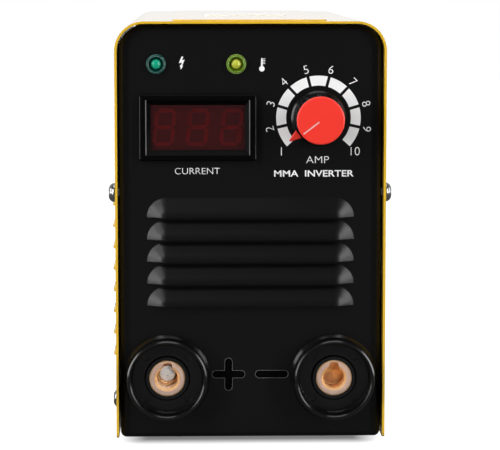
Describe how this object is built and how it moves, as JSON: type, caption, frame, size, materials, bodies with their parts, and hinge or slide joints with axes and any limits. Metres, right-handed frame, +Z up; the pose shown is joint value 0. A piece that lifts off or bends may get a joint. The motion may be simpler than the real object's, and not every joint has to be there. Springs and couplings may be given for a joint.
{
  "type": "stick welding inverter",
  "caption": "Compact stick welding inverter with a folded sheet cover, pressed front panel, digital meter, current knob, indicator lamps, louvers, output sockets and a rear fan.",
  "frame": {"origin": "on the ground below the middle of the machine's bounding box", "axes": "+X to the operator's right facing the front panel, +Y from the front panel to the rear, +Z up"},
  "size_m": [0.1178, 0.278, 0.1778],
  "materials": {
    "yellow_paint": "gloss",
    "black_paint": "satin",
    "bare_steel": "satin",
    "zinc_screw": "polished",
    "foot_rubber": "matte",
    "label_film": "satin",
    "black_plastic": "matte",
    "black_gloss_plastic": "gloss",
    "red_window": "gloss",
    "display_grey": "matte",
    "segment_red": "satin",
    "lamp_green": "gloss",
    "lamp_yellow": "gloss",
    "led_green": "gloss",
    "led_yellow": "gloss",
    "knob_red": "satin",
    "plain_aluminium": "satin",
    "contact_copper": "polished",
    "nut_brass": "satin",
    "circuit_board": "gloss",
    "ferrite": "matte",
    "bobbin_plastic": "matte",
    "winding_tape": "satin",
    "can_sleeve": "gloss",
    "relay_case": "satin",
    "package_epoxy": "matte",
    "lead_sheath": "satin",
    "rocker_red": "gloss"
  },
  "bodies": {
    "casing": {"top_cover": "yellow_paint", "top_label": "label_film", "front_panel": "black_paint", "rear_panel": "black_paint", "base_tray": "bare_steel", "rubber_feet": "foot_rubber", "panel_rivets": "bare_steel", "cover_screws": "zinc_screw", "clinch_nuts": "bare_steel", "meter_housing": "black_plastic", "meter_window": "red_window", "display_module": "display_grey", "digit_segments": "segment_red", "power_lamp_holder": "lamp_green", "power_lamp_led": "led_green", "thermal_lamp_holder": "lamp_yellow", "thermal_lamp_led": "led_yellow", "potentiometer_body": "package_epoxy", "potentiometer_nut": "zinc_screw", "positive_socket_housing": "black_plastic", "positive_socket_contact": "contact_copper", "negative_socket_housing": "black_plastic", "negative_socket_contact": "contact_copper", "socket_nuts": "nut_brass", "output_busbars": "contact_copper", "terminal_bolts": "bare_steel", "panel_pillars": "nut_brass", "control_board": "circuit_board", "board_standoffs": "nut_brass", "power_board": "circuit_board", "board_screws": "zinc_screw", "inverter_heatsink": "plain_aluminium", "output_heatsink": "plain_aluminium", "power_transistors": "package_epoxy", "output_diodes": "package_epoxy", "transformer_core": "ferrite", "transformer_bobbin": "bobbin_plastic", "transformer_winding": "winding_tape", "bus_capacitors": "can_sleeve", "bridge_rectifier": "package_epoxy", "inrush_relay": "relay_case", "fan_frame": "black_plastic", "fan_stator": "bare_steel", "fan_guard": "zinc_screw", "fan_bolts": "zinc_screw", "switch_housing": "black_gloss_plastic", "switch_terminals": "nut_brass", "mains_leads": "lead_sheath", "gland_body": "black_plastic", "gland_dome_nut": "black_plastic", "gland_seal": "foot_rubber", "gland_locknut": "black_plastic", "earth_stud": "nut_brass", "earth_nut": "nut_brass"},
    "current_knob": {"knob_body": "black_plastic", "knob_cap": "knob_red", "knob_pointer": "knob_red", "potentiometer_shaft": "plain_aluminium"},
    "fan_wheel": {"fan_rotor": "black_plastic"},
    "power_rocker": {"switch_rocker": "rocker_red"}
  },
  "joints": [
    {"name": "knob_turn", "type": "hinge", "parent": "casing", "child": "current_knob", "pos_m": [0.0281, -0.121, 0.1371], "axis": [0, 1, 0], "range_deg": [0, 260]},
    {"name": "fan_spin", "type": "hinge", "parent": "casing", "child": "fan_wheel", "pos_m": [0, 0.1073, 0.06], "axis": [0, 1, 0], "continuous": true},
    {"name": "switch_rock", "type": "hinge", "parent": "casing", "child": "power_rocker", "pos_m": [-0.026, 0.1188, 0.139], "axis": [1, 0, 0], "range_deg": [0, 24]}
  ]
}
